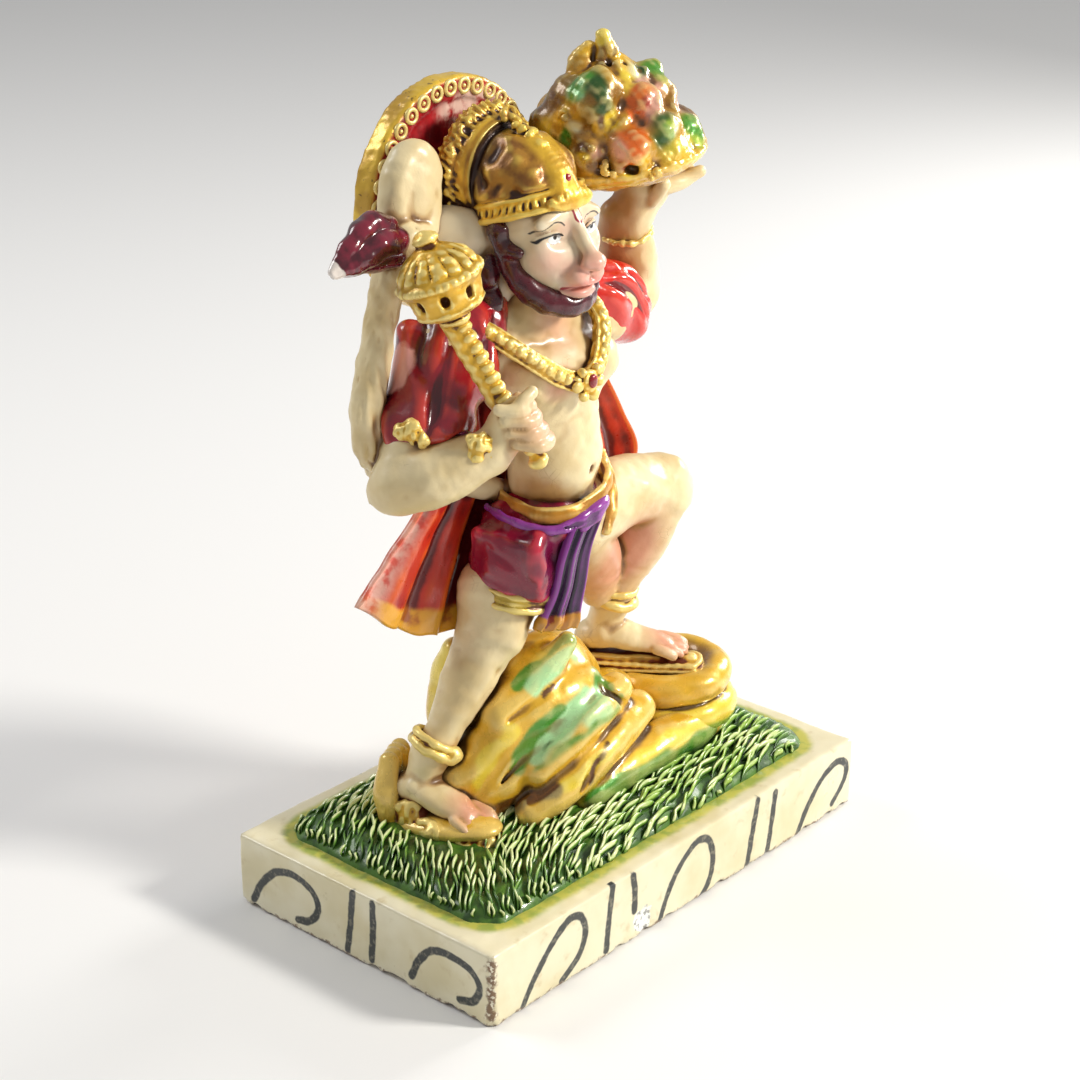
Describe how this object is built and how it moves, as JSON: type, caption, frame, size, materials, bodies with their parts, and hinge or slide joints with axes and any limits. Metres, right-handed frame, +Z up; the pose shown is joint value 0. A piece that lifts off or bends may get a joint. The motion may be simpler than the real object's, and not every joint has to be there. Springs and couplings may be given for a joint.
{
  "type": "hanuman figure",
  "caption": "Painted cast figure of Hanuman striding over a rock, with a mace and a mountain held up on a tray, on a grassy mound and an oblong plinth.",
  "frame": {"origin": "middle of the plinth's underside", "axes": "+Z up, +X along the plinth towards the raised foot and the mountain, -Y the figure's front"},
  "size_m": [0.106, 0.0636, 0.1563],
  "materials": {
    "cream_lacquer": "gloss lacquer with black painted hoops",
    "gold_paint": "satin gold paint with a brown wash",
    "skin_paint": "satin cream paint with pink shading",
    "cloth_paint": "gloss crimson and orange-red paint",
    "purple_paint": "gloss purple paint",
    "hair_paint": "gloss dark maroon paint",
    "turf_paint": "green paint with pale tips",
    "rock_paint": "satin gold, mint and green paint"
  },
  "bodies": {
    "root": {"plinth": "cream_lacquer", "figure": "gold_paint"}
  },
  "joints": []
}
